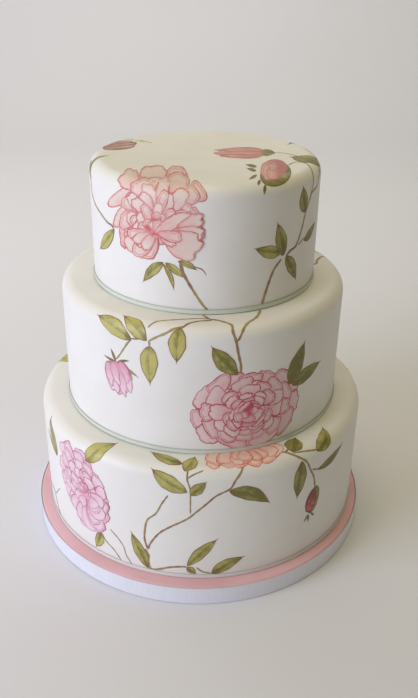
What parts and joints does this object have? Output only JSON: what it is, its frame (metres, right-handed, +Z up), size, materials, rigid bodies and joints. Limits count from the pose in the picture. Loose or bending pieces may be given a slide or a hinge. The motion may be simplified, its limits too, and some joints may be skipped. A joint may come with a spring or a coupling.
{
  "type": "tiered wedding cake",
  "caption": "Round tiered wedding cake in smooth white icing with hand-painted flowers and vines, narrow foot ribbons and a pink iced drum board edged in white ribbon.",
  "frame": {"origin": "middle of the round drum board's underside, on the surface that the cake stands on", "axes": "+Z up through the tiers; -Y towards the painted front of the cake; +X to the right as seen from the front"},
  "size_m": [0.2798, 0.2802, 0.3034],
  "materials": {
    "icing_white": "smooth sugar paste, satin, with a soft grain",
    "icing_pink": "smooth pink sugar paste, matt",
    "ribbon_white": "white satin ribbon with a fine upright weave",
    "ribbon_mint": "pale grey-green satin ribbon",
    "ribbon_pale": "off-white satin ribbon",
    "drum_card": "silver foil paper over thick card",
    "petal_paint": "thin pink food paint, washed out to the icing, with darker edges",
    "leaf_paint": "thin olive food paint with darker edges",
    "stem_paint": "thin brown-olive food paint"
  },
  "bodies": {
    "root": {"board_drum": "drum_card", "board_icing": "icing_pink", "board_ribbon": "ribbon_white", "tier_bottom": "icing_white", "tier_middle": "icing_white", "tier_top": "icing_white", "ribbon_bottom": "ribbon_pale", "ribbon_middle": "ribbon_mint", "ribbon_top": "ribbon_mint"}
  },
  "joints": []
}
